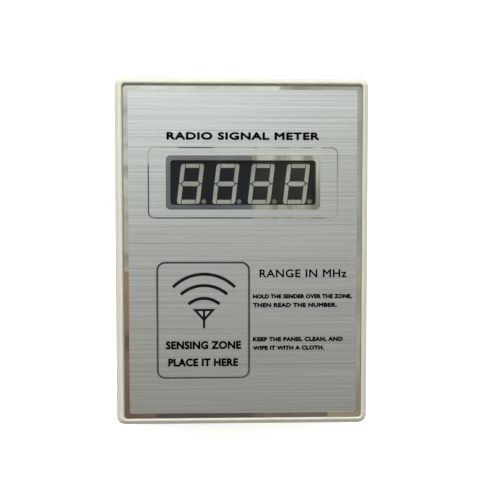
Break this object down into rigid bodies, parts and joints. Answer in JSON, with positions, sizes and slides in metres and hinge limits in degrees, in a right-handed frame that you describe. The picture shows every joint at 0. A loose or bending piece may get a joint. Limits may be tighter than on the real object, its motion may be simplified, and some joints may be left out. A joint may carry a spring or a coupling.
{
  "type": "frequency counter",
  "caption": "Flat desk-top RF frequency counter: silver-grey case, brushed panel with a mirror border, LED display and a marked sensing area.",
  "frame": {"origin": "on the table under the middle of the case, at the soles of the rubber feet", "axes": "+Z out of the front panel, +Y towards the display end, +X to the right of the display as it is read; the case lies on its back"},
  "size_m": [0.0906, 0.1244, 0.034],
  "materials": {
    "case_plastic": "fine grained silver-grey moulding",
    "mirror_plate": "mirror polish",
    "brushed_print": "satin, fine horizontal streaks",
    "black_ink": "screen-printed",
    "clear_lens": "clear, polished",
    "display_black": "smooth black",
    "segment_diffuser": "milky, unlit",
    "point_diffuser": "milky, unlit",
    "tinned_lead": "tinned",
    "board_laminate": "green solder mask",
    "copper_track": "copper under lacquer",
    "chip_epoxy": "moulded epoxy",
    "crystal_can": "drawn can",
    "resistor_coat": "lacquered",
    "ceramic_coat": "dipped",
    "capacitor_sleeve": "shrink sleeve",
    "buzzer_case": "moulded",
    "tab_metal": "tinned tab",
    "connector_black": "moulded",
    "contact_metal": "plated",
    "nut_plate": "nickel plated",
    "switch_black": "moulded",
    "rocker_black": "moulded, smooth",
    "wire_yellow": "sleeving",
    "wire_blue": "sleeving",
    "wire_red": "sleeving",
    "wire_black": "sleeving",
    "battery_jacket": "printed jacket",
    "foam_pad": "open foam",
    "screw_zinc": "zinc plated",
    "foot_rubber": "moulded"
  },
  "bodies": {
    "case": {"antenna_board": "board_laminate", "antenna_coil": "copper_track", "antenna_header": "connector_black", "antenna_header_pins": "tinned_lead", "antenna_screws": "screw_zinc", "battery": "battery_jacket", "battery_clip": "connector_black", "battery_pad": "foam_pad", "battery_terminals": "contact_metal", "battery_wire_black": "wire_black", "battery_wire_red": "wire_red", "board_screws": "screw_zinc", "buzzer": "buzzer_case", "case_screws": "screw_zinc", "ceramic_capacitors": "ceramic_coat", "ceramic_legs": "tinned_lead", "component_leads": "tinned_lead", "crystal": "crystal_can", "dc_jack_body": "connector_black", "dc_jack_lugs": "contact_metal", "dc_jack_nut": "nut_plate", "dc_jack_pin": "contact_metal", "display_body": "display_black", "display_lens": "clear_lens", "display_pins": "tinned_lead", "display_points": "point_diffuser", "display_segments": "segment_diffuser", "electrolytic_capacitors": "capacitor_sleeve", "front_shell": "case_plastic", "jack_wires": "wire_blue", "main_board": "board_laminate", "microcontroller": "chip_epoxy", "microcontroller_legs": "tinned_lead", "panel_brushed_film": "brushed_print", "panel_graphics": "black_ink", "panel_mirror_plate": "mirror_plate", "rear_shell": "case_plastic", "regulator_tab": "tab_metal", "resistor_leads": "tinned_lead", "resistors": "resistor_coat", "rubber_feet": "foot_rubber", "surface_chip_leads": "tinned_lead", "surface_chips": "chip_epoxy", "switch_housing": "switch_black", "switch_lugs": "contact_metal", "switch_wires": "wire_yellow", "voltage_regulator": "chip_epoxy"},
    "rocker": {"power_rocker": "rocker_black"},
    "door": {"battery_door": "case_plastic"}
  },
  "joints": [
    {"name": "power_switch", "type": "hinge", "parent": "case", "child": "rocker", "pos_m": [-0.014, 0.059, 0.009], "axis": [0, 0, -1], "range_deg": [0, 20]},
    {"name": "battery_door_slide", "type": "slide", "parent": "case", "child": "door", "axis": [0, -1, 0], "range_m": [0, 0.036]}
  ]
}
